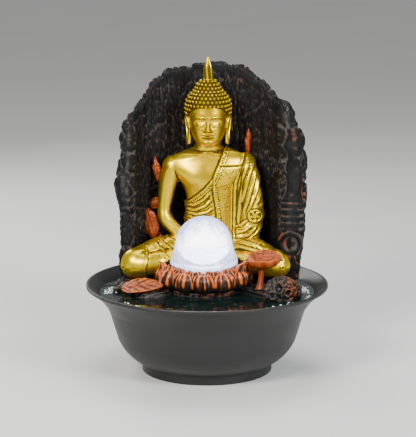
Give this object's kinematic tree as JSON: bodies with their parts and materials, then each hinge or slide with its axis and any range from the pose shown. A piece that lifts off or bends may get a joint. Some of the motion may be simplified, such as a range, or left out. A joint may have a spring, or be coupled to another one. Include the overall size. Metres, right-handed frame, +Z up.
{
  "type": "tabletop water fountain",
  "caption": "Round bowl fountain with a seated robed figure in a rock grotto, a lit ball turning on water in a lotus cup, leaf pads, and a submersible pump under the rock.",
  "frame": {"origin": "centre of the bowl's foot ring, on the table", "axes": "+Z up, front faces -Y, +X to the viewer's right when seen from the front"},
  "size_m": [0.23, 0.23, 0.294],
  "materials": {
    "bowl_plastic": "satin charcoal",
    "rock_resin": "dark rock with dry-brushed edges",
    "gold_resin": "antique gold paint with dark wash",
    "lotus_resin": "copper brown with dark wash",
    "leaf_resin": "rust copper",
    "clear_acrylic": "clear",
    "crystal": "frosted clear, lit from below",
    "hose_plastic": "translucent",
    "pump_plastic": "black moulded",
    "dial_plastic": "grey moulded",
    "white_plastic": "moulded",
    "lens_plastic": "frosted lens",
    "board_green": "solder mask",
    "shaft_steel": "ground",
    "magnet": "sintered",
    "seat_rubber": "moulded",
    "clear_rubber": "translucent",
    "led_emitter": "lit"
  },
  "bodies": {
    "bowl": {"bowl": "bowl_plastic", "suction_cups": "clear_rubber", "pump_housing": "pump_plastic", "pump_volute": "pump_plastic", "pump_strainer": "pump_plastic", "rotor_shaft": "shaft_steel", "shaft_seat": "seat_rubber", "cable_gland": "seat_rubber"},
    "sculpture": {"rock_base": "rock_resin", "rock_backdrop": "rock_resin", "figure_body": "gold_resin", "figure_head": "gold_resin", "figure_finial": "gold_resin", "lotus_cup": "lotus_resin", "ball_dish": "clear_acrylic", "led_housing": "white_plastic", "led_board": "board_green", "led_chips": "led_emitter", "led_lens": "lens_plastic", "flow_splitter": "hose_plastic", "jet_tube": "hose_plastic", "riser_tube": "hose_plastic", "outlet_tee": "hose_plastic", "branch_tube_left": "hose_plastic", "branch_tube_right": "hose_plastic", "spout_left": "pump_plastic", "spout_right": "pump_plastic", "pad_left": "leaf_resin", "pad_right": "leaf_resin", "front_stone": "rock_resin", "bud_left": "leaf_resin", "bud_right": "leaf_resin", "leaf_upper": "leaf_resin", "leaf_lower": "leaf_resin"},
    "ball": {"crystal_ball": "crystal"},
    "rotor": {"rotor_magnet": "magnet", "impeller": "white_plastic"},
    "dial": {"flow_dial": "dial_plastic"}
  },
  "joints": [
    {"name": "sculpture_lift", "type": "slide", "parent": "bowl", "child": "sculpture", "axis": [0, 0, 1], "range_m": [0, 0.1]},
    {"name": "ball_spin", "type": "hinge", "parent": "sculpture", "child": "ball", "pos_m": [-0.003, 0.0062, 0.1195], "axis": [0, 0, 1], "continuous": true},
    {"name": "rotor_spin", "type": "hinge", "parent": "bowl", "child": "rotor", "pos_m": [-0.003, 0.0062, 0.0304], "axis": [0, 1, 0], "continuous": true},
    {"name": "flow_dial_turn", "type": "hinge", "parent": "bowl", "child": "dial", "pos_m": [-0.003, 0.0062, 0.0304], "axis": [0, 1, 0], "range_deg": [0, 90]}
  ]
}
